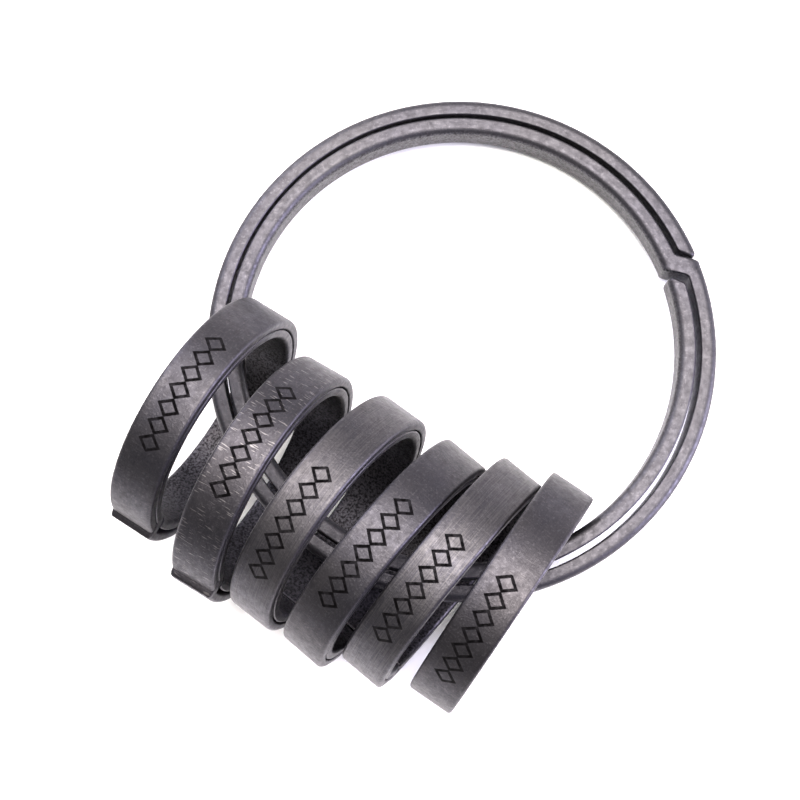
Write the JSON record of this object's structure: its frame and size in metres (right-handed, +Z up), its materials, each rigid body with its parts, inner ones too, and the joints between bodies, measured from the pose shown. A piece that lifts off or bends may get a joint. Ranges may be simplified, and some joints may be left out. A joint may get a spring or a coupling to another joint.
{
  "type": "split key ring",
  "caption": "Flat two-turn split ring with an S-shaped jog, carrying a fan of small flat-band split rings for keys.",
  "frame": {"origin": "middle of the whole assembly's footprint, on the plane that the small rings stand on", "axes": "+Z up from the plane it rests on; +X to the right and +Y away from the viewer who looks at the fan of small rings from above, with the bare arc of the big ring towards +X +Y"},
  "size_m": [0.0368, 0.0382, 0.0157],
  "materials": {
    "blasted_titanium_big": "bead-blasted titanium, uncoated",
    "blasted_titanium_small": "tumbled and bead-blasted titanium, uncoated"
  },
  "bodies": {
    "big_ring": {"big_ring_coil": "blasted_titanium_big"},
    "big_ring_leaf": {"big_ring_leaf": "blasted_titanium_big"},
    "small_ring_3": {"small_ring_3_coil": "blasted_titanium_small"},
    "small_ring_3_leaf": {"small_ring_3_leaf": "blasted_titanium_small"},
    "small_ring_2": {"small_ring_2_coil": "blasted_titanium_small"},
    "small_ring_2_leaf": {"small_ring_2_leaf": "blasted_titanium_small"},
    "small_ring_1": {"small_ring_1_coil": "blasted_titanium_small"},
    "small_ring_1_leaf": {"small_ring_1_leaf": "blasted_titanium_small"},
    "small_ring_4": {"small_ring_4_coil": "blasted_titanium_small"},
    "small_ring_4_leaf": {"small_ring_4_leaf": "blasted_titanium_small"},
    "small_ring_5": {"small_ring_5_coil": "blasted_titanium_small"},
    "small_ring_5_leaf": {"small_ring_5_leaf": "blasted_titanium_small"},
    "small_ring_6": {"small_ring_6_coil": "blasted_titanium_small"},
    "small_ring_6_leaf": {"small_ring_6_leaf": "blasted_titanium_small"}
  },
  "joints": [
    {"name": "big_ring_open", "type": "hinge", "parent": "big_ring", "child": "big_ring_leaf", "pos_m": [-0.00319, 0.01802, 0.00194], "axis": [0.0671, 0.1317, 0.989], "range_deg": [0, 10], "stiffness_Nm_per_rad": 0.06},
    {"name": "small_ring_3_slide_round", "type": "hinge", "parent": "big_ring", "child": "small_ring_3", "pos_m": [0.00241, 0.00312, 0.00354], "axis": [0.0671, 0.1317, 0.989], "range_deg": [-25, 25]},
    {"name": "small_ring_3_open", "type": "hinge", "parent": "small_ring_3", "child": "small_ring_3_leaf", "pos_m": [-0.00811, -0.00889, 0.01496], "axis": [-0.8009, 0.5755, -0.165], "range_deg": [0, 16], "stiffness_Nm_per_rad": 0.02},
    {"name": "small_ring_2_slide_round", "type": "hinge", "parent": "small_ring_3", "child": "small_ring_2", "pos_m": [0.00241, 0.00312, 0.00354], "axis": [0.0671, 0.1317, 0.989], "range_deg": [-20, 0]},
    {"name": "small_ring_2_open", "type": "hinge", "parent": "small_ring_2", "child": "small_ring_2_leaf", "pos_m": [-0.00874, -0.00201, 0.01493], "axis": [-0.8606, 0.4909, -0.1357], "range_deg": [0, 16], "stiffness_Nm_per_rad": 0.02},
    {"name": "small_ring_1_slide_round", "type": "hinge", "parent": "small_ring_2", "child": "small_ring_1", "pos_m": [0.00241, 0.00312, 0.00354], "axis": [0.0671, 0.1317, 0.989], "range_deg": [-20, 0]},
    {"name": "small_ring_1_open", "type": "hinge", "parent": "small_ring_1", "child": "small_ring_1_leaf", "pos_m": [-0.01263, 0.00079, 0.01526], "axis": [-0.8477, 0.5175, -0.1167], "range_deg": [0, 16], "stiffness_Nm_per_rad": 0.02},
    {"name": "small_ring_4_slide_round", "type": "hinge", "parent": "small_ring_3", "child": "small_ring_4", "pos_m": [0.00241, 0.00312, 0.00354], "axis": [0.0671, 0.1317, 0.989], "range_deg": [0, 20]},
    {"name": "small_ring_4_open", "type": "hinge", "parent": "small_ring_4", "child": "small_ring_4_leaf", "pos_m": [-0.0054, -0.01248, 0.01424], "axis": [-0.7673, 0.6303, -0.1184], "range_deg": [0, 16], "stiffness_Nm_per_rad": 0.02},
    {"name": "small_ring_5_slide_round", "type": "hinge", "parent": "small_ring_4", "child": "small_ring_5", "pos_m": [0.00241, 0.00312, 0.00354], "axis": [0.0671, 0.1317, 0.989], "range_deg": [0, 20]},
    {"name": "small_ring_5_open", "type": "hinge", "parent": "small_ring_5", "child": "small_ring_5_leaf", "pos_m": [-0.00054, -0.01195, 0.01526], "axis": [-0.7745, 0.625, -0.0976], "range_deg": [0, 16], "stiffness_Nm_per_rad": 0.02},
    {"name": "small_ring_6_slide_round", "type": "hinge", "parent": "small_ring_5", "child": "small_ring_6", "pos_m": [0.00241, 0.00312, 0.00354], "axis": [0.0671, 0.1317, 0.989], "range_deg": [0, 20]},
    {"name": "small_ring_6_open", "type": "hinge", "parent": "small_ring_6", "child": "small_ring_6_leaf", "pos_m": [0.00252, -0.0147, 0.01465], "axis": [-0.8283, 0.5566, -0.0645], "range_deg": [0, 16], "stiffness_Nm_per_rad": 0.02}
  ]
}
